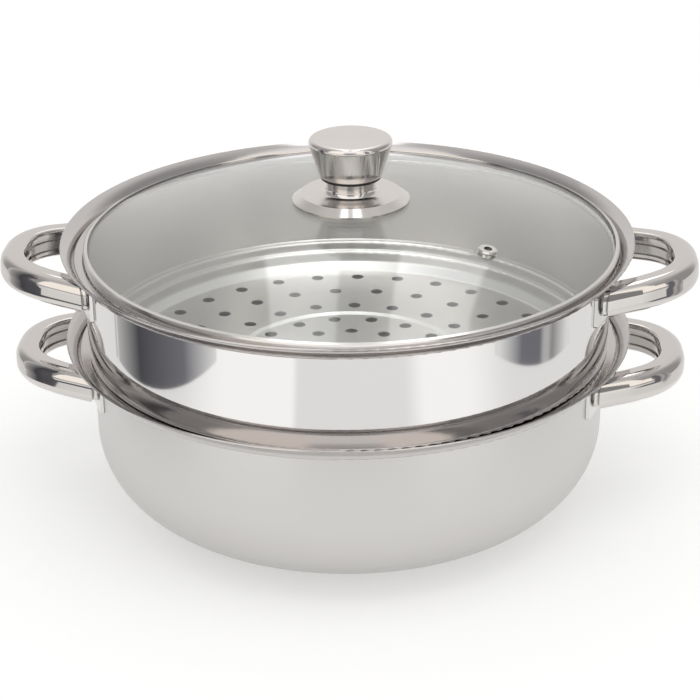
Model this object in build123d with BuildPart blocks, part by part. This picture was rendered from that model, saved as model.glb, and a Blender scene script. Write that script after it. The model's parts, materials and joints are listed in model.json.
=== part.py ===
from build123d import *
import math
import os

# A two-tier steamer pot: a bowl-shaped pot, a perforated steamer that nests in its
# rim, a domed glass lid with a steel rim, and two loop handles on each tier.
# Millimetres. Origin: centre of the pot's base, +Z up, the handles along X.
# The camera side is -Y, so "front" is -Y, "left" is -X and "right" is +X.

os.makedirs("parts", exist_ok=True)


def cosd(degrees):
    return math.cos(math.radians(degrees))


def sind(degrees):
    return math.sin(math.radians(degrees))


# Driving dimensions: the drawn sheet of both vessels
sheet = 0.8  # thickness of the stainless sheet
rim_radius = 140.0  # outermost edge of the flared lip, the same on both tiers
lip_height = 7.0  # from the lid ledge up to the lip's edge
ledge_bend = 1.2  # bend radius on both sides of the ledge, on the sheet's middle
lip_foot_angle = 66.0  # the lip leaves the ledge at this slope
lip_edge_angle = 28.0  # and flares out to this one
lip_edge_round = 0.3  # rounding of the lip's cut edge

# Driving dimensions: the pot
pot_height = 92.5  # base to the top of the lip
pot_wall_inset = 12.7  # outside of the upright wall, inside the lip's edge
base_radius = 56.0  # flat disc that the pot stands on
corner_radius = 40.0  # tight curve below the wall
corner_turn = 70.0  # degrees of the curve, the rest is the shallow dish

# Driving dimensions: the steamer
tier_pitch = 48.7  # height of the steamer's lip above the pot's lip
steamer_wall_inset = 10.8
upper_neck_play = 1.3  # the upper neck drops into the pot's mouth with this much room
lower_neck_step = 3.4  # the lower neck is this much narrower
floor_step = 5.6  # and the flat of the floor this much again
upper_neck_height = 4.6
lower_neck_height = 5.2
floor_bend_height = 4.2
neck_draft = 0.4  # each neck leans in by this much
neck_bend = 1.2
floor_bend = 2.4
press_radius_share = 0.5  # circle pressed in the floor, as a share of floor_radius
press_depth = 1.0
press_run = 2.0
press_bend = 0.6

# Driving dimensions: the rings of holes in the steamer's floor, inner ring first.
# Every other ring is turned by half a step, as the drilled pattern is.
hole_radius = 3.2
ring_radius_shares = (0.155, 0.294, 0.432, 0.57, 0.744, 0.919)
ring_counts = (6, 12, 16, 20, 24, 30)

# Driving dimensions: the glass lid
glass_thickness = 3.0
glass_crown = 20.1  # rise of the dome over its edge
glass_edge_round = 0.5  # both corners of the glass edge are ground round
lid_gauge = 0.6  # sheet of the lid's steel rim
lid_overlap = 1.7  # the rim stands on the ledge and reaches this far past the wall
lid_rim_cover = 1.5  # width of steel over the glass
lid_rim_fold = 0.5  # width of the flat across both corners of the steel
lid_shift = 2.0  # the loose lid lies this far off centre in its recess, to the right

# Driving dimensions: the steam vent in the glass
vent_distance = 82.0
vent_azimuth = -37.0
vent_bore = 1.9
vent_barrel = 3.2
vent_flange = 4.6
vent_flange_height = 1.3
vent_flare = 0.6

# Driving dimensions: the knob on its trumpet-shaped base
knob_top_radius = 21.1
knob_foot_radius = 15.2
knob_height = 18.5
knob_crown = 1.4
knob_edge_round = 2.4
knob_shell_gauge = 1.0
knob_foot_round = 0.5
groove_width = 1.6  # black ring of the plug that shows under the cap
groove_radius = 14.6
neck_radius = 12.0
neck_height = 4.3
base_disc_radius = 28.6
base_disc_edge = 0.8  # upright edge at the foot of the skirt
base_skirt_run = 4.2  # the disc's skirt slopes down this far
base_skirt_rise = 3.0
base_disc_gauge = 0.9
base_sweep = 3.0  # height of the trumpet's curve
trumpet_lean = 0.06  # slope of the curve where it leaves the disc and meets the neck
base_fold_round = 1.2  # rounding between the skirt and the trumpet's curve
spigot_radius = 8.6
screw_radius = 3.0
screw_head_radius = 6.2
screw_head_height = 3.2
screw_slot_width = 1.2
screw_slot_depth = 1.4
washer_radius = 11.0
washer_height = 1.2
gasket_radius = 12.0
gasket_height = 1.2
thread_reach = 15.0

# Driving dimensions: the hollow loop handles and their brackets
pot_grip_reach = 40.5  # outermost point of the pot's handles from its wall
pot_grip_tilt = 3.0  # degrees that the handles rise towards their tips
steamer_grip_reach = 42.5
steamer_grip_tilt = 5.3
grip_drop = 18.9  # handle's middle below the lip's edge
grip_height = 15.0
grip_width = 12.0
grip_gauge = 0.9
grip_outer_round = 5.8
grip_inner_round = 2.2
grip_slot = 7.6  # opening between the folded edges on the finger side
grip_corner_y = 20.9
grip_bend_inset = 23.2  # where the arm bends, measured in from the tip's middle
grip_bend_y = 33.6
grip_arm_slope = 20.0  # degrees between the arm near the wall and X
grip_tip_bend = 30.0
grip_arm_bend = 40.0
grip_wall_gap = 3.8  # end of the tube to the wall
liner_ridge = 3.0
bracket_gauge = 1.4
bracket_height = 15.6
bracket_drop = 0.3  # bracket's middle below the arm's middle
bracket_width = 20.0
bracket_offset = 2.6  # plate's middle stands outboard of the arm's middle
bracket_round = 1.5
plug_end_gap = 2.3  # the bracket's plug stops this far short of the arm's bend

# Clearances
seat_gap = 0.3  # between pieces that rest on or in each other
slip_gap = 0.1  # between a screw, barrel or spigot and its hole
overrun = 2.0  # how far cutters run past what they cut

half_sheet = sheet / 2
pot_wall_radius = rim_radius - pot_wall_inset
steamer_wall_radius = rim_radius - steamer_wall_inset


def save(part, name):
    part.label = name
    export_step(part, "parts/" + name + ".step")


def save_lid(part, name):
    """The lid's pieces are drawn round the vessels' axis and moved to where the lid lies."""
    save(part.moved(Location((lid_shift, 0, 0))), name)


# The lip and ledge, worked out on the middle of the sheet
rim_mid_radius = rim_radius - half_sheet * sind(lip_edge_angle)
rim_mid_drop = half_sheet * cosd(lip_edge_angle)
lip_rise = lip_height - ledge_bend * (1 - cosd(lip_foot_angle))
flare_radius = lip_rise / (cosd(lip_edge_angle) - cosd(lip_foot_angle))
flare_reach = flare_radius * (sind(lip_foot_angle) - sind(lip_edge_angle))
ledge_end_radius = rim_mid_radius - flare_reach - ledge_bend * sind(lip_foot_angle)
ledge_mid_drop = rim_mid_drop + lip_height
ledge_top_drop = ledge_mid_drop - half_sheet


def make_rim(name, wall_mid_radius, rim_z):
    """Ledge and flared lip of a vessel, from the top of its wall outward and up."""
    ledge_z = rim_z - ledge_mid_drop
    with BuildPart() as rim:
        with BuildSketch(Plane.XZ) as section:
            with BuildLine():
                inner = JernArc((wall_mid_radius, ledge_z - ledge_bend), (0, 1), ledge_bend, -90)
                ledge = Line(inner @ 1, (ledge_end_radius, ledge_z))
                foot = JernArc(ledge @ 1, ledge % 1, ledge_bend, lip_foot_angle)
                JernArc(foot @ 1, foot % 1, flare_radius, lip_edge_angle - lip_foot_angle)
            trace(line_width=sheet)
            fillet(section.vertices().sort_by(Axis.X)[-2:], lip_edge_round)
        revolve(axis=Axis.Z)
    save(rim.part, name)


# Pot: its wall and base, and the rim as a piece of its own that carries on from the wall
pot_wall_mid = pot_wall_radius - half_sheet
corner_mid = corner_radius - half_sheet
dish_turn = 90 - corner_turn
dish_run = pot_wall_mid - base_radius - corner_mid * (1 - sind(dish_turn))
dish_mid = dish_run / sind(dish_turn)

with BuildPart() as pot_body:
    with BuildSketch(Plane.XZ):
        with BuildLine():
            base = Line((0, half_sheet), (base_radius, half_sheet))
            dish = JernArc(base @ 1, base % 1, dish_mid, dish_turn)
            corner = JernArc(dish @ 1, dish % 1, corner_mid, corner_turn)
            wall_top = (pot_wall_mid, pot_height - ledge_mid_drop - ledge_bend)
            Line(corner @ 1, wall_top)
        trace(line_width=sheet)
    revolve(axis=Axis.Z)
save(pot_body.part, "pot_body")
make_rim("pot_rim", pot_wall_mid, pot_height)

# Steamer: its first step stands on the pot's ledge
upper_neck_radius = pot_wall_radius - sheet - upper_neck_play - half_sheet
lower_neck_radius = upper_neck_radius - lower_neck_step
floor_radius = lower_neck_radius - floor_step
steamer_rim_z = pot_height + tier_pitch
steamer_wall_mid = steamer_wall_radius - half_sheet
seat_z = pot_height - ledge_top_drop + seat_gap + half_sheet
upper_neck_z = seat_z - upper_neck_height
lower_neck_z = upper_neck_z - lower_neck_height
floor_z = lower_neck_z - floor_bend_height
press_z = floor_z - press_depth
press_radius = floor_radius * press_radius_share

with BuildPart() as steamer_body:
    with BuildSketch(Plane.XZ):
        with BuildLine():
            steamer_wall_top = steamer_rim_z - ledge_mid_drop - ledge_bend
            FilletPolyline(
                (0, press_z),
                (press_radius - press_run, press_z),
                (press_radius, floor_z),
                (floor_radius, floor_z),
                (lower_neck_radius - neck_draft, lower_neck_z),
                (lower_neck_radius, upper_neck_z),
                (upper_neck_radius - neck_draft, upper_neck_z),
                (upper_neck_radius, seat_z),
                (steamer_wall_mid, seat_z),
                (steamer_wall_mid, steamer_wall_top),
                radius=[press_bend, press_bend, floor_bend, floor_bend,
                        neck_bend, neck_bend, neck_bend, neck_bend],
            )
        trace(line_width=sheet)
    revolve(axis=Axis.Z)
    with BuildSketch(Plane.XY.offset(press_z - overrun)):
        Circle(hole_radius)
        for ring, (radius_share, count) in enumerate(zip(ring_radius_shares, ring_counts)):
            turned = 90 if ring % 2 else 90 + 180 / count
            with PolarLocations(floor_radius * radius_share, count, start_angle=turned):
                Circle(hole_radius)
    extrude(amount=press_depth + 2 * overrun, mode=Mode.SUBTRACT)
save(steamer_body.part, "steamer_body")
make_rim("steamer_rim", steamer_wall_mid, steamer_rim_z)

# Glass of the lid: a shallow dome with a hole for the knob's screw and one for the vent.
# The steel round its edge stands on the steamer's ledge.
lid_radius = steamer_wall_radius + lid_overlap
glass_radius = lid_radius - lid_gauge - slip_gap
glass_foot_z = steamer_rim_z - ledge_top_drop + seat_gap + lid_gauge + slip_gap
dome_radius = (glass_radius**2 + glass_crown**2) / (2 * glass_crown)
dome_depth = dome_radius - glass_crown  # from the middle of the glass edge's top to the centre
dome_inside = math.sqrt((dome_radius - glass_thickness) ** 2 - glass_radius**2)
dome_centre_z = glass_foot_z - dome_inside
glass_top_z = dome_centre_z + dome_depth
crown_z = dome_centre_z + dome_radius


def dome_z(distance, depth=0.0):
    """Height of the dome at a distance from the axis, at a depth below its outer face."""
    return dome_centre_z + math.sqrt((dome_radius - depth) ** 2 - distance**2)


vent_slope = math.degrees(math.asin(vent_distance / dome_radius))
vent_turn = (cosd(vent_azimuth), sind(vent_azimuth))
vent_plane = Plane(
    origin=(vent_distance * vent_turn[0], vent_distance * vent_turn[1], dome_z(vent_distance)),
    x_dir=(-vent_turn[1], vent_turn[0], 0),
    z_dir=(sind(vent_slope) * vent_turn[0], sind(vent_slope) * vent_turn[1], cosd(vent_slope)),
)

with BuildPart() as lid_glass:
    with BuildSketch(Plane.XZ) as glass_section:
        with BuildLine():
            outer_face = ThreePointArc(
                (0, crown_z),
                (glass_radius / 2, dome_z(glass_radius / 2)),
                (glass_radius, glass_top_z),
            )
            inner_end = (glass_radius, dome_z(glass_radius, glass_thickness))
            Line(outer_face @ 1, inner_end)
            inner_face = ThreePointArc(
                inner_end,
                (glass_radius / 2, dome_z(glass_radius / 2, glass_thickness)),
                (0, crown_z - glass_thickness),
            )
            Line(inner_face @ 1, outer_face @ 0)
        make_face()
        fillet(glass_section.vertices().group_by(Axis.X)[-1], glass_edge_round)
    revolve(axis=Axis.Z)
    with BuildSketch(Plane.XY.offset(crown_z + overrun)):
        Circle(screw_radius + slip_gap)
    extrude(amount=-glass_thickness - 2 * overrun, mode=Mode.SUBTRACT)
    with BuildSketch(vent_plane.offset(overrun)):
        Circle(vent_barrel + slip_gap)
    extrude(amount=-glass_thickness - 2 * overrun, mode=Mode.SUBTRACT)
save_lid(lid_glass.part, "lid_glass")

# Steel rim of the lid: a channel crimped round the edge of the glass, its corners folded flat
half_lid = lid_gauge / 2
clear_lid = slip_gap + half_lid
channel_radius = glass_radius + clear_lid
fold_radius = channel_radius - lid_rim_fold
cover_radius = glass_radius - lid_rim_cover

with BuildPart() as lid_rim:
    with BuildSketch(Plane.XZ):
        with BuildLine():
            Polyline(
                (cover_radius, dome_z(cover_radius) + clear_lid),
                (fold_radius, dome_z(fold_radius) + clear_lid),
                (channel_radius, glass_top_z + clear_lid - lid_rim_fold),
                (channel_radius, glass_foot_z - clear_lid + lid_rim_fold),
                (fold_radius, dome_z(fold_radius, glass_thickness) - clear_lid),
                (cover_radius, dome_z(cover_radius, glass_thickness) - clear_lid),
            )
        trace(line_width=lid_gauge)
    revolve(axis=Axis.Z)
save_lid(lid_rim.part, "lid_rim")

# Eyelet of the steam vent, rolled over both faces of the glass
with BuildPart() as vent_eyelet:
    with BuildSketch(vent_plane.offset(seat_gap / 2)):
        Circle(vent_flange)
    extrude(amount=vent_flange_height)
    chamfer(vent_eyelet.faces().sort_by(Axis.Z)[-1].edges(), vent_flare)
    with BuildSketch(vent_plane.offset(seat_gap / 2)):
        Circle(vent_barrel)
    extrude(amount=-glass_thickness - seat_gap)
    with BuildSketch(vent_plane.offset(-glass_thickness - seat_gap / 2)):
        Circle(vent_flange)
    extrude(amount=-vent_flare)
    with BuildSketch(vent_plane.offset(vent_flange_height + overrun)):
        Circle(vent_bore)
    extrude(amount=-glass_thickness - vent_flange_height - 2 * overrun, mode=Mode.SUBTRACT)
save_lid(vent_eyelet.part, "vent_eyelet")

# Knob: gasket, trumpet-shaped base disc, hollow cap with a threaded plug in it
gasket_z = crown_z + seat_gap / 2
disc_z = dome_z(base_disc_radius) + seat_gap
disc_top_z = disc_z + base_disc_edge + base_skirt_rise
neck_foot_z = disc_top_z + base_sweep
neck_top_z = neck_foot_z + neck_height
cap_z = neck_top_z + groove_width
cap_top_z = cap_z + knob_height

with BuildPart() as knob_gasket:
    with BuildSketch(Plane.XY.offset(gasket_z)):
        Circle(gasket_radius)
        Circle(screw_radius + slip_gap, mode=Mode.SUBTRACT)
    extrude(amount=gasket_height)
save_lid(knob_gasket.part, "knob_gasket")

fold_x = base_disc_radius - base_skirt_run
inner_fold = (fold_x - base_disc_gauge, disc_top_z - base_disc_gauge)

with BuildPart() as knob_base:
    with BuildSketch(Plane.XZ) as base_section:
        with BuildLine():
            edge = Line((base_disc_radius, disc_z), (base_disc_radius, disc_z + base_disc_edge))
            skirt = Line(edge @ 1, (fold_x, disc_top_z))
            waist = (neck_radius, neck_foot_z)
            Spline(skirt @ 1, waist, tangents=((-1, trumpet_lean), (-trumpet_lean, 1)))
            neck_side = Line(waist, (neck_radius, neck_top_z))
            neck_in = Line(neck_side @ 1, (neck_radius - base_disc_gauge, neck_top_z))
            neck_back = Line(neck_in @ 1, (neck_radius - base_disc_gauge, neck_foot_z))
            Spline(neck_back @ 1, inner_fold, tangents=((trumpet_lean, -1), (1, -trumpet_lean)))
            skirt_back = Line(inner_fold, (base_disc_radius - base_disc_gauge, disc_z))
            Line(skirt_back @ 1, edge @ 0)
        make_face()
        fold_corner = base_section.vertices().sort_by_distance((fold_x, 0, disc_top_z))[0]
        fillet(fold_corner, base_fold_round)
    revolve(axis=Axis.Z)
save_lid(knob_base.part, "knob_base")

plug_top_z = cap_top_z - knob_shell_gauge - seat_gap
plug_foot_z = gasket_z + gasket_height
groove_z = neck_top_z + seat_gap
inner_foot = knob_foot_radius - knob_shell_gauge - seat_gap
inner_top = knob_top_radius - knob_shell_gauge - knob_edge_round

with BuildPart() as knob_cap:
    with BuildSketch(Plane.XZ):
        with BuildLine():
            FilletPolyline(
                (knob_foot_radius - knob_shell_gauge, cap_z),
                (knob_foot_radius, cap_z),
                (knob_top_radius, cap_top_z),
                (0, cap_top_z + knob_crown),
                (0, cap_top_z - knob_shell_gauge),
                (knob_top_radius - knob_edge_round, cap_top_z - knob_shell_gauge),
                radius=[knob_foot_round, knob_edge_round, 0, 0],
            )
            Line(
                (knob_top_radius - knob_edge_round, cap_top_z - knob_shell_gauge),
                (knob_foot_radius - knob_shell_gauge, cap_z),
            )
        make_face()
    revolve(axis=Axis.Z)
save_lid(knob_cap.part, "knob_cap")

with BuildPart() as knob_plug:
    with BuildSketch(Plane.XZ):
        with BuildLine():
            Polyline(
                (0, plug_foot_z),
                (spigot_radius, plug_foot_z),
                (spigot_radius, groove_z),
                (groove_radius, groove_z),
                (groove_radius, cap_z - slip_gap),
                (inner_foot, cap_z - slip_gap),
                (inner_top, plug_top_z),
                (0, plug_top_z),
                close=True,
            )
        make_face()
    revolve(axis=Axis.Z)
    with BuildSketch(Plane.XY.offset(plug_foot_z)):
        Circle(screw_radius + slip_gap)
    extrude(amount=thread_reach + seat_gap, mode=Mode.SUBTRACT)
save_lid(knob_plug.part, "knob_plug")

# Under the glass: soft washer, steel washer and the screw that holds the knob
soft_washer_z = dome_z(gasket_radius, glass_thickness) - seat_gap / 2
steel_washer_z = soft_washer_z - gasket_height - seat_gap / 2
screw_head_z = steel_washer_z - washer_height - seat_gap / 2

for washer_name, top_z, radius, height in (
    ("knob_soft_washer", soft_washer_z, gasket_radius, gasket_height),
    ("knob_steel_washer", steel_washer_z, washer_radius, washer_height),
):
    with BuildPart() as washer:
        with BuildSketch(Plane.XY.offset(top_z)):
            Circle(radius)
            Circle(screw_radius + slip_gap, mode=Mode.SUBTRACT)
        extrude(amount=-height)
    save_lid(washer.part, washer_name)

with BuildPart() as knob_screw:
    with BuildSketch(Plane.XY.offset(screw_head_z)):
        Circle(screw_head_radius)
    extrude(amount=-screw_head_height)
    fillet(knob_screw.edges().filter_by(GeomType.CIRCLE).sort_by(Axis.Z)[0], screw_slot_depth)
    with BuildSketch(Plane.XY.offset(screw_head_z)):
        Circle(screw_radius)
    extrude(amount=plug_foot_z + thread_reach - screw_head_z)
    with BuildSketch(Plane.XY.offset(screw_head_z - screw_head_height)):
        Rectangle(2 * screw_head_radius, screw_slot_width)
        Rectangle(screw_slot_width, 2 * screw_head_radius)
    extrude(amount=screw_slot_depth, mode=Mode.SUBTRACT)
save_lid(knob_screw.part, "knob_screw")


# Handles: a hollow pressed loop, the ridged strip that closes its finger side, and a
# welded bracket whose plug holds each end of the loop
def arm_run_to(wall_radius, tip):
    """Length of an arm's middle line from its bend to the wall, for a tip that far out."""
    bend_x = tip - grip_bend_inset
    along = bend_x * cosd(grip_arm_slope) - grip_bend_y * sind(grip_arm_slope)
    beyond = bend_x**2 + grip_bend_y**2 - wall_radius**2
    return along - math.sqrt(along**2 - beyond)


def arm_point(tip, run):
    """A point on an arm's middle line, at a run from its bend towards the wall."""
    return (
        tip - grip_bend_inset - run * cosd(grip_arm_slope),
        grip_bend_y + run * sind(grip_arm_slope),
    )


def draw_grip_path(wall_radius, tip):
    """Middle line of a handle at +X, from its front arm round the tip to its back arm."""
    start = arm_point(tip, arm_run_to(wall_radius, tip) + grip_width)
    bend = arm_point(tip, 0)
    corner = (tip, grip_corner_y)
    return FilletPolyline(
        (start[0], -start[1]),
        (bend[0], -bend[1]),
        (corner[0], -corner[1]),
        corner,
        bend,
        start,
        radius=[grip_arm_bend, grip_tip_bend, grip_tip_bend, grip_arm_bend],
    )


def draw_grip_outline(inset):
    """Section of the loop: rounded towards the outside (+Y), flatter on the finger side."""
    half_height = grip_height / 2 - inset
    half_width = grip_width / 2 - inset
    FilletPolyline(
        (half_height, -half_width),
        (half_height, half_width),
        (-half_height, half_width),
        (-half_height, -half_width),
        radius=[grip_inner_round - inset, grip_outer_round - inset,
                grip_outer_round - inset, grip_inner_round - inset],
        close=True,
    )


# The arm's bend takes up this much of the arm beside its corner point
bend_turn = grip_arm_slope - math.degrees(
    math.atan((grip_bend_y - grip_corner_y) / grip_bend_inset)
)
bend_run = grip_arm_bend * math.tan(math.radians(abs(bend_turn) / 2))

# The liner lies just behind the folded edges, and the plug fits the hollow beside it
liner_face = grip_width / 2 - grip_gauge - slip_gap
liner_back = liner_face - grip_gauge
liner_height = grip_height - 2 * grip_inner_round
plug_inset = grip_gauge + seat_gap
plug_side = liner_back - seat_gap

for tier, wall_radius, reach, tilt, rim_z in (
    ("pot", pot_wall_radius, pot_grip_reach, pot_grip_tilt, pot_height),
    ("steamer", steamer_wall_radius, steamer_grip_reach, steamer_grip_tilt, steamer_rim_z),
):
    grip_z = rim_z - grip_drop
    tip = wall_radius + reach - grip_width / 2
    arm_run = arm_run_to(wall_radius, tip)
    foot_x, foot_y = arm_point(tip, arm_run)
    plug_reach = arm_run - bend_run - plug_end_gap
    for side, across in (("right", 1), ("left", -1)):
        # Measured from the vessel's axis, and tilted about the place where it meets the wall
        grip_plane = Plane(
            origin=(across * wall_radius * (1 - cosd(tilt)), 0, grip_z - wall_radius * sind(tilt)),
            x_dir=(across * cosd(tilt), 0, sind(tilt)),
            z_dir=(-across * sind(tilt), 0, cosd(tilt)),
        )

        with BuildPart() as handle:
            with BuildLine(grip_plane) as grip_line:
                draw_grip_path(wall_radius, tip)
            section_plane = Plane(
                origin=grip_line.line @ 0, x_dir=grip_plane.z_dir, z_dir=grip_line.line % 0
            )
            with BuildSketch(section_plane):
                with BuildLine():
                    draw_grip_outline(0)
                make_face()
                with BuildLine():
                    draw_grip_outline(grip_gauge)
                make_face(mode=Mode.SUBTRACT)
                with Locations((0, -grip_width / 2)):
                    Rectangle(grip_slot, 3 * grip_gauge, mode=Mode.SUBTRACT)
            sweep(path=grip_line.line)
            with BuildSketch(Plane.XY.offset(grip_z - grip_height)):
                Circle(wall_radius + grip_wall_gap)
            extrude(amount=2 * grip_height, mode=Mode.SUBTRACT)
        save(handle.part, tier + "_handle_" + side)

        with BuildPart() as liner:
            with BuildLine(grip_plane) as liner_line:
                draw_grip_path(wall_radius, tip)
            with BuildSketch(section_plane):
                with Locations((0, -(liner_face + liner_back) / 2)):
                    Rectangle(liner_height, liner_face - liner_back)
                with Locations((0, -(liner_face + grip_gauge / 2))):
                    Rectangle(liner_ridge, grip_gauge)
            sweep(path=liner_line.line)
            with BuildSketch(Plane.XY.offset(grip_z - grip_height)):
                Circle(wall_radius + grip_wall_gap)
            extrude(amount=2 * grip_height, mode=Mode.SUBTRACT)
        save(liner.part, tier + "_handle_liner_" + side)

        inner_radius = wall_radius + slip_gap

        for end, facing in (("front", -across), ("back", across)):
            arm_plane = Plane(
                origin=grip_plane.from_local_coords((foot_x, facing * foot_y, 0)),
                x_dir=grip_plane.z_dir * -facing,
                z_dir=grip_plane.x_dir * cosd(grip_arm_slope)
                - grip_plane.y_dir * facing * sind(grip_arm_slope),
            )
            bracket_z = arm_plane.origin.Z - bracket_drop
            with BuildPart() as bracket:
                with BuildSketch(Plane.XY.offset(bracket_z - bracket_height / 2)):
                    Circle(inner_radius + bracket_gauge)
                    Circle(inner_radius, mode=Mode.SUBTRACT)
                    with Locations((across * foot_x, across * facing * (foot_y + bracket_offset))):
                        Rectangle(2 * bracket_width, bracket_width, mode=Mode.INTERSECT)
                extrude(amount=bracket_height)
                fillet(bracket.edges().filter_by(Axis.X), bracket_round)
                with BuildSketch(arm_plane.offset(-grip_width)):
                    with BuildLine():
                        draw_grip_outline(plug_inset)
                    make_face()
                    with Locations((0, -(plug_side + grip_width / 2))):
                        Rectangle(grip_height, grip_width, mode=Mode.SUBTRACT)
                extrude(amount=grip_width + plug_reach)
                with BuildSketch(Plane.XY.offset(grip_z - grip_height)):
                    Circle(inner_radius)
                extrude(amount=2 * grip_height, mode=Mode.SUBTRACT)
            save(bracket.part, tier + "_bracket_" + side + "_" + end)
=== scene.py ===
# %% [markdown]
# # A two-tier steamer pot
#
# The pot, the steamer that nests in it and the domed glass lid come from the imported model, in
# metres, with their shapes and places fixed. This script gives them their finishes, down to
# turning marks that are too fine for the model, and sets up the camera and the light.
#
# Polished steel has hardly any colour of its own: it shows what stands round it. So half of this
# lesson is about the surfaces, and the other half about what they have to reflect.

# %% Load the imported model
import json
import math

import bpy
from mathutils import Matrix, Vector

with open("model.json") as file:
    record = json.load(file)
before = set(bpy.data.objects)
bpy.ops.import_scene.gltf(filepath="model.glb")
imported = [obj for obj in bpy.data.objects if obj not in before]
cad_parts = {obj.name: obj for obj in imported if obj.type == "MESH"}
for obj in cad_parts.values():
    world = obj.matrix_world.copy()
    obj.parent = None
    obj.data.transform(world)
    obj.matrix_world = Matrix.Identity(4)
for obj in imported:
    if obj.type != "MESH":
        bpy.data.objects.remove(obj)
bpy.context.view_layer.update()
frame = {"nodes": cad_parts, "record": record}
MM = 0.001

# %% [markdown]
# ## The camera
#
# The photograph was taken from about a metre away, looking down on the lid, with the pot turned a
# few degrees. The numbers below were found by laying the rims, the holes and the handles of the
# model over the photograph. A camera could also be placed by eye, but ellipses show an error of a
# degree at once.

# %% Camera
CAMERA_FOCAL_PX = 1916.6  # focal length in pixels of the square photograph
PHOTO_SIDE_PX = 700
CAMERA_DISTANCE = 966.4 * MM
CAMERA_HEIGHT = 24.65  # degrees above level
CAMERA_TURN = 3.0  # degrees round the pot, towards its right-hand handles
CAMERA_ROLL = -0.6
AIM = Vector((0, 0, 76.9 * MM))
AXIS_OFFSET_PX = 1.55  # the pot's axis stands this far left of the middle

height, turn = math.radians(CAMERA_HEIGHT), math.radians(CAMERA_TURN)
back = Vector((
    math.sin(turn) * math.cos(height), -math.cos(turn) * math.cos(height), math.sin(height)
))
camera = bpy.data.objects.new("camera", bpy.data.cameras.new("camera"))
bpy.context.collection.objects.link(camera)
camera.data.sensor_width = 36.0
camera.data.lens = CAMERA_FOCAL_PX * camera.data.sensor_width / PHOTO_SIDE_PX
camera.data.shift_x = AXIS_OFFSET_PX / PHOTO_SIDE_PX
camera.data.clip_start = 0.01
camera.rotation_mode = "QUATERNION"
camera.location = AIM + back * CAMERA_DISTANCE
camera.rotation_quaternion = (
    (-back).to_track_quat("-Z", "Y").to_matrix()
    @ Matrix.Rotation(math.radians(CAMERA_ROLL), 3, "Z")
).to_quaternion()
bpy.context.scene.camera = camera
bpy.context.scene.view_settings.view_transform = "Standard"
print("lens", round(camera.data.lens, 1), "mm")

# %% [markdown]
# ## Colours and nodes
#
# Colours are written as the hex values a paint program shows, and tone turns them into the linear
# numbers that light is added up in. The function add puts one node into a material or the world,
# with its settings and its links, so that each finish below reads as a list of what it is made of.
# The other helpers are sums that come back often: a product, a soft step, a window between two
# values, the bearing of a direction and a blend of two colours.


# %% Colour and node helpers
def tone(code):
    """A hex colour as linear red, green, blue and alpha."""
    parts = [int(code[i:i + 2], 16) / 255 for i in (1, 3, 5)]
    return [p / 12.92 if p <= 0.04045 else ((p + 0.055) / 1.055) ** 2.4 for p in parts] + [1]


def add(tree, kind, inputs=None, **settings):
    """Add a node: settings are its own properties, inputs are values or sockets to link."""
    node = tree.nodes.new(kind)
    for name, value in settings.items():
        setattr(node, name, value)
    for name, value in (inputs or {}).items():
        if isinstance(value, bpy.types.NodeSocket):
            tree.links.new(value, node.inputs[name])
        else:
            node.inputs[name].default_value = value
    return node


def times(tree, *factors):
    """The product of several values or sockets."""
    product = factors[0]
    for factor in factors[1:]:
        product = add(tree, "ShaderNodeMath", {
            0: product, 1: factor,
        }, operation="MULTIPLY").outputs[0]
    return product


def ramp(tree, value, start, end):
    """0 before start and 1 past end, with a soft change between. The end may be the smaller."""
    return add(tree, "ShaderNodeMapRange", {
        "Value": value, "From Min": start, "From Max": end,
    }, interpolation_type="SMOOTHSTEP").outputs["Result"]


def window(tree, value, low, high, soft):
    """1 between two values, 0 outside them, with soft edges of this width."""
    return times(tree, ramp(tree, value, low - soft, low), ramp(tree, value, high + soft, high))


def bearing(tree, vector):
    """The azimuth of a vector in degrees: 0 towards the camera's side, 90 to the right."""
    split = add(tree, "ShaderNodeSeparateXYZ", {"Vector": vector})
    front = add(tree, "ShaderNodeMath", {0: split.outputs["Y"], 1: -1.0}, operation="MULTIPLY")
    turned = add(tree, "ShaderNodeMath", {
        0: split.outputs["X"], 1: front.outputs[0],
    }, operation="ARCTAN2")
    return add(tree, "ShaderNodeMath", {0: turned.outputs[0]}, operation="DEGREES").outputs[0]


def blend(tree, factor, first, second):
    """A colour that goes from the first to the second one as the factor goes from 0 to 1."""
    return add(tree, "ShaderNodeMix", {
        "Factor": factor, "A": first, "B": second,
    }, data_type="RGBA").outputs["Result"]


def new_material(name):
    """An empty node material with its output, and the output node."""
    material = bpy.data.materials.new(name)
    material.use_nodes = True
    material.node_tree.nodes.clear()
    return material, add(material.node_tree, "ShaderNodeOutputMaterial")


print("white is", tone("#ffffff"))

# %% [markdown]
# ## The studio round the pot
#
# The background of the photograph is pure white. The camera, polished steel and glass all see the
# world, so it is white for the camera, and for reflections it is the inside of a light tent: pale
# above and behind, greyer at the sides, with two long lamps overhead whose narrow gap shows in the
# glass as a darker band below the knob. Light Path tells the world which kind of ray is asking.
# Matt surfaces are lit by one plain level, at which a colour renders about as it is written.

# %% World
world = bpy.data.worlds.new("light_tent")
bpy.context.scene.world = world
world.use_nodes = True
sky = world.node_tree
sky.nodes.clear()
ray = add(sky, "ShaderNodeLightPath")
heading = add(sky, "ShaderNodeTexCoord").outputs["Generated"]
heading_xyz = add(sky, "ShaderNodeSeparateXYZ", {"Vector": heading})

# Lamps are bounded by the x, y and z of a direction of length 1, or by azimuths in degrees
STRIP_SOFT = 0.012  # x, the soft edge of a lamp overhead
STRIP_HEIGHT = 0.57, 0.62  # z between which its low end fades in
STRIP_FRONT = -0.2, 0.0  # y between which it fades out towards the camera
BOX_SOFT = 2.5  # degrees, the soft upright edges of a soft box
BOX_HEIGHT = 0.18, 0.82  # z of its lower and upper edge
BOX_HEIGHT_SOFT = 0.1


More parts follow.
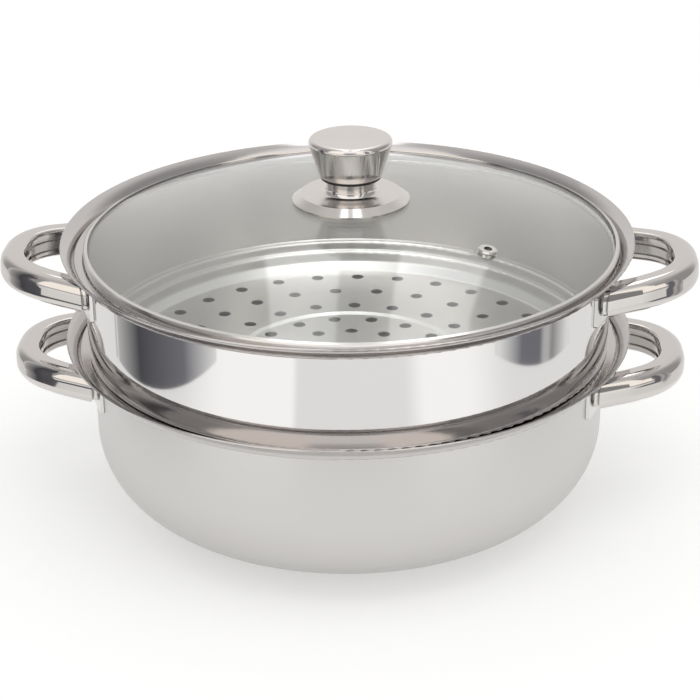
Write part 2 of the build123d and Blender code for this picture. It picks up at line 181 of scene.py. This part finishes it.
def glow_of(code, level):
    """A colour of light: level 1 is as bright as the white background."""
    return [part * level for part in tone(code)[:3]] + [1]


def patch(colour_before, centre, colour, inner, outer):
    """Lay a soft-edged round patch of the tent's wall over what is there already."""
    azimuth, elevation = (math.radians(a) for a in centre)
    towards = (
        math.sin(azimuth) * math.cos(elevation),
        -math.cos(azimuth) * math.cos(elevation),
        math.sin(elevation),
    )
    near = add(sky, "ShaderNodeVectorMath", {0: heading, 1: towards}, operation="DOT_PRODUCT")
    edge = ramp(sky, near.outputs["Value"], *(math.cos(math.radians(a)) for a in (outer, inner)))
    return blend(sky, edge, colour_before, colour)


def lamp_strip(colour_before, low, high, colour):
    """A long lamp overhead that runs from the back to the front, between two values of x."""
    mask = times(
        sky,
        window(sky, heading_xyz.outputs["X"], low, high, STRIP_SOFT),
        ramp(sky, heading_xyz.outputs["Z"], *STRIP_HEIGHT),
        ramp(sky, heading_xyz.outputs["Y"], *STRIP_FRONT),
    )
    return blend(sky, mask, colour_before, colour)


def front_lamp(colour_before, low, high, colour):
    """A soft box beside the camera, between two azimuths."""
    mask = times(
        sky,
        window(sky, bearing(sky, heading), low, high, BOX_SOFT),
        window(sky, heading_xyz.outputs["Z"], *BOX_HEIGHT, BOX_HEIGHT_SOFT),
    )
    return blend(sky, mask, colour_before, colour)


print("patches, strips and soft boxes can be laid on the tent's wall")

# %% [markdown]
# Each patch lies over those before it, and the lamps over them all. A patch has its centre as an
# azimuth and an elevation in degrees: azimuth 0 is the camera's side, 90 the right and 180 behind
# the pot. It also says how many degrees from there its soft edge begins and ends. What stands
# where is a guess from the reflections in the steel.

# %% Paint the tent
WALL_PATCHES = {
    "backdrop": ((180, 15), tone("#e9e7e5"), 45, 80),
    "soft light over the camera": ((0, 55), glow_of("#ffffff", 1.15), 15, 40),
    "the camera's side of the room": ((0, 5), tone("#c6c5c4"), 15, 40),
    "the camera itself": ((0, 5), tone("#8b8a89"), 8, 14),
    "left side of the room": ((-90, 15), tone("#a3a2a2"), 25, 55),
    "right side of the room": ((90, 15), tone("#a3a2a2"), 25, 55),
}
SOFT_BOXES = {"left": (-60, -17), "right": (20, 62)}  # between these azimuths
STRIPS = {"left": (-0.17, -0.063), "right": (0.044, 0.17)}  # between these values of x
SOFT_BOX_GLOW = glow_of("#fff9f2", 1.25)
STRIP_GLOW = glow_of("#ffffff", 2.0)
PLAIN_LEVEL = 0.8  # what matt surfaces are lit by

tent = add(sky, "ShaderNodeRGB").outputs["Color"]
tent.default_value = tone("#cfcecd")
for centre, colour, inner, outer in WALL_PATCHES.values():
    tent = patch(tent, centre, colour, inner, outer)
for low, high in SOFT_BOXES.values():
    tent = front_lamp(tent, low, high, SOFT_BOX_GLOW)
for low, high in STRIPS.values():
    tent = lamp_strip(tent, low, high, STRIP_GLOW)

seen = blend(sky, ray.outputs["Is Camera Ray"], tent, tone("#ffffff"))
matt = blend(sky, ray.outputs["Is Diffuse Ray"], seen, [PLAIN_LEVEL] * 3 + [1])
air = add(sky, "ShaderNodeBackground", {"Color": matt, "Strength": 1.0})
add(sky, "ShaderNodeOutputWorld", {"Surface": air.outputs["Background"]})
print(len(sky.nodes), "nodes in the world")

# %% [markdown]
# The pot stands on a sheet of white paper. Its floor is a large plane whose pale colour catches
# the soft shadow; a little of its own light, for the camera, polished steel and glass, brings it up
# to the background's white. For polished steel and glass that glow is uneven painted light: two
# pools of painted light to the left and right of the camera, as if two lamps stood there, which the
# polished wall shows as two soft upright bands, and an even painted level close round the pot.

# %% Floor
FLOOR_HALF = 6.0
GLOW_FOR_CAMERA = 0.38
# Painted light in reflections of the paper: two pools of painted lamp light, even near the pot
GLOW_FOR_STEEL = 0.17, 0.4  # in reflections, outside and inside the lamps' light
NEAR_GLOW = 0.65  # how far the paper close to the pot is from the first to the second
NEAR_POT = 0.25, 0.31  # metres from the middle between which that gives way to the lamps' light
LEFT_PAINTED_POOL = (-14, -17), (-64, -40)  # azimuths between which its inner and outer edges come up
RIGHT_PAINTED_POOL = (21, 30), (66, 42)


def stage_sheet(name, corners):
    """A flat stage piece from its corners."""
    mesh = bpy.data.meshes.new(name)
    mesh.from_pydata(corners, [], [tuple(range(len(corners)))])
    sheet = bpy.data.objects.new(name, mesh)
    bpy.context.collection.objects.link(sheet)
    return sheet


floor = stage_sheet("floor", [
    (-FLOOR_HALF, -FLOOR_HALF, 0), (FLOOR_HALF, -FLOOR_HALF, 0),
    (FLOOR_HALF, FLOOR_HALF, 0), (-FLOOR_HALF, FLOOR_HALF, 0),
])
paper, out = new_material("white_paper")
nodes = paper.node_tree
lit = add(nodes, "ShaderNodeBsdfDiffuse", {"Color": tone("#dededd")})
path = add(nodes, "ShaderNodeLightPath")
spot = add(nodes, "ShaderNodeTexCoord").outputs["Object"]
azimuth = bearing(nodes, spot)
distance = add(nodes, "ShaderNodeVectorMath", {0: spot}, operation="LENGTH").outputs["Value"]
# Two pools of painted light on the paper, to the left and right of the camera
painted_left_pool, painted_right_pool = (
    times(nodes, ramp(nodes, azimuth, *inner_edge), ramp(nodes, azimuth, *outer_edge))
    for inner_edge, outer_edge in (LEFT_PAINTED_POOL, RIGHT_PAINTED_POOL)
)
painted_pools = add(nodes, "ShaderNodeMath", {0: painted_left_pool, 1: painted_right_pool}, operation="ADD").outputs[0]
mirrored = add(nodes, "ShaderNodeMath", {
    0: path.outputs["Is Glossy Ray"], 1: path.outputs["Is Transmission Ray"],
}, operation="MAXIMUM").outputs[0]
# Close round the pot the painted light is one even level
painted_level = add(nodes, "ShaderNodeMix", {
    "Factor": ramp(nodes, distance, *NEAR_POT), "A": NEAR_GLOW, "B": painted_pools,
}).outputs["Result"]
for_steel = add(nodes, "ShaderNodeMapRange", {
    "Value": painted_level, "To Min": GLOW_FOR_STEEL[0], "To Max": GLOW_FOR_STEEL[1],
})
lift = add(nodes, "ShaderNodeMath", {
    0: times(nodes, mirrored, for_steel.outputs["Result"]),
    1: times(nodes, path.outputs["Is Camera Ray"], GLOW_FOR_CAMERA),
}, operation="ADD")
glow = add(nodes, "ShaderNodeEmission", {"Strength": lift.outputs[0]})
whole = add(nodes, "ShaderNodeAddShader", {0: lit.outputs[0], 1: glow.outputs[0]})
nodes.links.new(whole.outputs[0], out.inputs["Surface"])
floor.data.materials.append(paper)
print("a floor", 2 * FLOOR_HALF, "m wide")

# %% [markdown]
# The polished wall shows two dark patches with a curved lower edge, as if something dark stood on
# both sides of the pot. Photographers stand black cards there, so that polished metal has an edge
# to show, and so does this scene: three glowing cards that paint reflections, seen in reflections
# and through the glass, never straight from the camera, and casting no shadow. Each card's glow
# is painted light and shade: nearly as pale as the paper where lamps would graze it, and darker
# to where they would miss it. Five plain shades are enough for that.

# %% Cards
# Painted light and shade of a card's glow, from where lamps would graze it to where they miss it
GRAZED, PALE, GREY, DIM, DARK = "#e6e6e6", "#b8b8b8", "#909090", "#74747a", "#4c4c50"


def upright_card(name, start, end, outline, painted_shades):
    """A card from its start to its end on the floor, in metres. A point of its outline is a run,
    0 at the start and 1 at the end, and a height in mm. A painted shade is a run and a colour."""
    run = Vector(end) - Vector(start)
    card = stage_sheet(name, [
        (*(Vector(start) + run * across), up * MM) for across, up in outline
    ])
    stuff, out = new_material(name)
    tree = stuff.node_tree
    here = add(tree, "ShaderNodeVectorMath", {
        0: add(tree, "ShaderNodeTexCoord").outputs["Object"], 1: (*start, 0),
    }, operation="SUBTRACT")
    along = add(tree, "ShaderNodeVectorMath", {
        0: here.outputs["Vector"], 1: (*(run / run.length_squared), 0),
    }, operation="DOT_PRODUCT").outputs["Value"]
    painted_card_shade = add(tree, "ShaderNodeValToRGB", {"Fac": along})
    stops = painted_card_shade.color_ramp.elements
    stops[0].position, stops[1].position = painted_shades[0][0], painted_shades[-1][0]
    stops[0].color, stops[1].color = tone(painted_shades[0][1]), tone(painted_shades[-1][1])
    for position, colour in painted_shades[1:-1]:
        stops.new(position).color = tone(colour)
    # The card glows with its painted light and shade; it is no lamp
    light = add(tree, "ShaderNodeEmission", {"Color": painted_card_shade.outputs["Color"]})
    tree.links.new(light.outputs[0], out.inputs["Surface"])
    card.data.materials.append(stuff)
    # Seen only in reflections and through the glass, the card paints dark reflections and casts no
    # shadow
    card.visible_camera = card.visible_diffuse = card.visible_shadow = False


upright_card(
    "card_left", start=(-0.272, -0.275), end=(-0.314, 0.030),
    outline=[
        (0, 0), (1, 0), (1, 420), (0.84, 370), (0.62, 260), (0.53, 130), (0.5, 42), (0, 42),
    ],
    painted_shades=[(0.0, GRAZED), (0.3, DIM), (0.7, DARK), (0.95, PALE), (0.97, GRAZED), (0.99, PALE)],
)
upright_card(
    "card_right", start=(0.322, -0.212), end=(0.344, 0.050),
    outline=[(0, 0), (0.92, 0), (0.8, 60), (0.6, 240), (0.38, 240), (0.35, 42), (0, 30)],
    painted_shades=[
        (0.05, GRAZED), (0.3, DIM), (0.5, DIM), (0.55, PALE), (0.6, PALE), (0.65, GREY),
        (0.85, GRAZED),
    ],
)
upright_card(
    "card_on_stand", start=(0.278, -0.306), end=(0.326, -0.233),
    outline=[(0, 100), (1, 100), (1, 620), (0, 620)],
    painted_shades=[(0.0, GREY), (1.0, GREY)],
)
print("three cards")

# %% [markdown]
# One large lamp above the pot gives the soft shadow on the paper. It is hidden from reflections,
# where the strips of the tent stand in for it.

# %% Lamp

def soft_lamp(name, azimuth, elevation, distance, size, radiance):
    """An area lamp that faces the pot; radiance 1 looks as bright as the white background."""
    a, e = math.radians(azimuth), math.radians(elevation)
    place = Vector((math.sin(a) * math.cos(e), -math.cos(a) * math.cos(e), math.sin(e)))
    light = bpy.data.lights.new(name, "AREA")
    light.shape = "RECTANGLE"
    light.size, light.size_y = size
    light.energy = radiance * math.pi * size[0] * size[1]
    lamp = bpy.data.objects.new(name, light)
    bpy.context.collection.objects.link(lamp)
    lamp.location = AIM + place * distance
    lamp.rotation_mode = "QUATERNION"
    lamp.rotation_quaternion = (-place).to_track_quat("-Z", "Y")
    lamp.visible_camera = False
    return lamp


top = soft_lamp("lamp_top", azimuth=20, elevation=72, distance=1.4, size=(0.9, 0.7), radiance=1.6)
top.visible_glossy = False
print("lamp of", round(top.data.energy, 2), "W")

# %% [markdown]
# ## Stainless steel
#
# Every metal piece here is 18/0 or 18/10 stainless steel. What differs is the last step of the
# making. The pot was spun and then brushed on a turntable, so it has very fine rings and a satin
# sheen. The steamer's wall and the handles were polished to a mirror. The reflectance of stainless
# is about 0.65, a warm light grey, and roughness goes from 0.05 for the mirror to 0.35 for satin.


# %% Steel finishes
CLOUD_MM = 25  # size of the faint clouds that handling leaves in a polish
WEAR = 0.02  # how far they change the roughness either way
OUTER_FACE = 0.4, 0.6  # how squarely a face looks away from the axis where it counts as outside


def steel(name, colour, roughness, ring_mm=0.0, ring_depth=0.0, smear=0.0, outside=None):
    """Stainless steel: its colour, how blurred its reflections are, and its turning marks, with
    their width and depth in mm. A vessel may have another roughness outside."""
    material, out = new_material(name)
    nodes = material.node_tree
    place = add(nodes, "ShaderNodeTexCoord").outputs["Object"]
    cloud = add(nodes, "ShaderNodeTexNoise", {
        "Vector": place, "Scale": 1 / (CLOUD_MM * MM), "Detail": 3.0,
    })
    rough = add(nodes, "ShaderNodeMapRange", {
        "Value": cloud.outputs["Fac"],
        "To Min": max(roughness - WEAR, 0.0), "To Max": roughness + WEAR,
    })
    blur = rough.outputs["Result"]
    depth = ring_depth * MM
    if outside is not None:
        level = add(nodes, "ShaderNodeVectorMath", {0: place, 1: (1, 1, 0)}, operation="MULTIPLY")
        away = add(nodes, "ShaderNodeVectorMath", {0: level.outputs[0]}, operation="NORMALIZE")
        facing = add(nodes, "ShaderNodeVectorMath", {
            0: add(nodes, "ShaderNodeNewGeometry").outputs["True Normal"], 1: away.outputs[0],
        }, operation="DOT_PRODUCT").outputs["Value"]
        outer = ramp(nodes, facing, *OUTER_FACE)
        blur = add(nodes, "ShaderNodeMix", {
            "Factor": outer, "A": blur, "B": outside,
        }).outputs["Result"]
        inner = ramp(nodes, facing, *reversed(OUTER_FACE))
        depth = times(nodes, inner, depth)
    body = add(nodes, "ShaderNodeBsdfPrincipled", {
        "Base Color": tone(colour), "Metallic": 1.0, "Roughness": blur,
    })
    if smear:
        body.inputs["Anisotropic"].default_value = smear
        around = add(nodes, "ShaderNodeTangent", direction_type="RADIAL", axis="Z")
        nodes.links.new(around.outputs["Tangent"], body.inputs["Tangent"])
    if ring_mm:
        split = add(nodes, "ShaderNodeSeparateXYZ", {"Vector": place})
        flat = add(nodes, "ShaderNodeCombineXYZ", {
            "X": split.outputs["X"], "Y": split.outputs["Y"],
        })
        reach = add(nodes, "ShaderNodeVectorMath", {0: flat.outputs[0]}, operation="LENGTH")
        spot = add(nodes, "ShaderNodeCombineXYZ", {
            "X": reach.outputs["Value"], "Y": split.outputs["Z"],
        })
        rings = add(nodes, "ShaderNodeTexNoise", {
            "Vector": spot.outputs[0], "Scale": 1 / (ring_mm * MM), "Detail": 1.0,
        })
        bump = add(nodes, "ShaderNodeBump", {
            "Height": rings.outputs["Fac"], "Strength": 1.0, "Distance": depth,
        })
        nodes.links.new(bump.outputs["Normal"], body.inputs["Normal"])
    nodes.links.new(body.outputs[0], out.inputs["Surface"])
    return material


satin_steel = steel("satin_spun_steel", "#d6d4d2", 0.32, ring_mm=0.9, ring_depth=0.004, smear=0.3)
vessel_steel = steel(
    "steamer_steel", "#ebe9e8", 0.3, ring_mm=0.8, ring_depth=0.003, smear=0.4, outside=0.05
)
rim_steel = steel("satin_rim_steel", "#cfcccb", 0.13, ring_mm=0.8, ring_depth=0.002, smear=0.3)
handle_steel = steel("polished_handle_steel", "#dad6d3", 0.06)
lid_steel = steel("polished_lid_rim_steel", "#dddbd9", 0.15)
bracket_steel = steel("bright_bracket_steel", "#dad9d7", 0.14)
liner_steel = steel("pressed_liner_steel", "#cfccc8", 0.18)
knob_steel = steel(
    "turned_knob_steel", "#e2dedb", 0.24, ring_mm=0.8, ring_depth=0.006, outside=0.1
)
bright_steel = steel("bright_fitting_steel", "#e0deda", 0.1)
print(len(bpy.data.materials), "materials")

# %% [markdown]
# ## Tempered glass
#
# The lid is soda-lime glass of IOR 1.52, with the faint green of thick glass. Light that falls
# straight through it is let pass by a Light Path mix, because following each ray through two faces
# only adds noise to the steel under it.

# %% Glass
GLASS_IOR = 1.52
lid_glass, out = new_material("tempered_glass")
nodes = lid_glass.node_tree
pane = add(nodes, "ShaderNodeBsdfPrincipled", {
    "Base Color": tone("#fafcfb"), "Roughness": 0.0, "IOR": GLASS_IOR, "Transmission Weight": 1.0,
})
clear = add(nodes, "ShaderNodeBsdfTransparent", {"Color": tone("#f2f6f4")})
path = add(nodes, "ShaderNodeLightPath")
either = add(nodes, "ShaderNodeMixShader", {
    0: path.outputs["Is Shadow Ray"], 1: pane.outputs[0], 2: clear.outputs[0],
})
nodes.links.new(either.outputs[0], out.inputs["Surface"])
print("glass of IOR", GLASS_IOR)

# %% [markdown]
# ## Silicone and resin
#
# The rings on both faces of the glass are moulded silicone rubber, and the plug in the knob is
# moulded phenolic resin, black and hard. A mould leaves both dull, with a grain of about a
# millimetre that also makes their colour a little uneven.

# %% Moulded finishes
GRAIN_DEPTH = 0.02 * MM


def moulded(name, colour, roughness, grain_mm):
    """A moulded rubber or resin: two shades of its colour, and the grain of its mould."""
    material, out = new_material(name)
    nodes = material.node_tree
    place = add(nodes, "ShaderNodeTexCoord").outputs["Object"]
    grain = add(nodes, "ShaderNodeTexNoise", {"Vector": place, "Scale": 1 / (grain_mm * MM)})
    bump = add(nodes, "ShaderNodeBump", {
        "Height": grain.outputs["Fac"], "Strength": 0.5, "Distance": GRAIN_DEPTH,
    })
    shade = add(nodes, "ShaderNodeMix", {
        "Factor": grain.outputs["Fac"], "A": tone(colour[0]), "B": tone(colour[1]),
    }, data_type="RGBA")
    body = add(nodes, "ShaderNodeBsdfPrincipled", {
        "Base Color": shade.outputs["Result"], "Roughness": roughness, "Normal": bump.outputs[0],
    })
    nodes.links.new(body.outputs[0], out.inputs["Surface"])
    return material


silicone = moulded("translucent_silicone", ("#c9c9c6", "#d6d6d3"), 0.5, 1.0)
resin = moulded("phenolic_resin", ("#1c1b1a", "#232221"), 0.4, 0.8)
print(silicone.name, "and", resin.name)

# %% [markdown]
# ## Each node gets its finish
#
# A node keeps its shape and place; only what fills its material slots changes.

# %% Dress the nodes
FINISHES = {
    "satin_steel": satin_steel,
    "mirror_steel": vessel_steel,
    "rim_steel": rim_steel,
    "handle_steel": handle_steel,
    "liner_steel": liner_steel,
    "bracket_steel": bracket_steel,
    "lid_steel": lid_steel,
    "knob_steel": knob_steel,
    "bright_steel": bright_steel,
    "clear_glass": lid_glass,
    "clear_silicone": silicone,
    "dark_phenolic": resin,
}
for part in frame["record"]["subparts"]:
    piece = frame["nodes"][part["node"]]
    for slot in piece.material_slots:
        slot.material = FINISHES[part["material_slot"]]
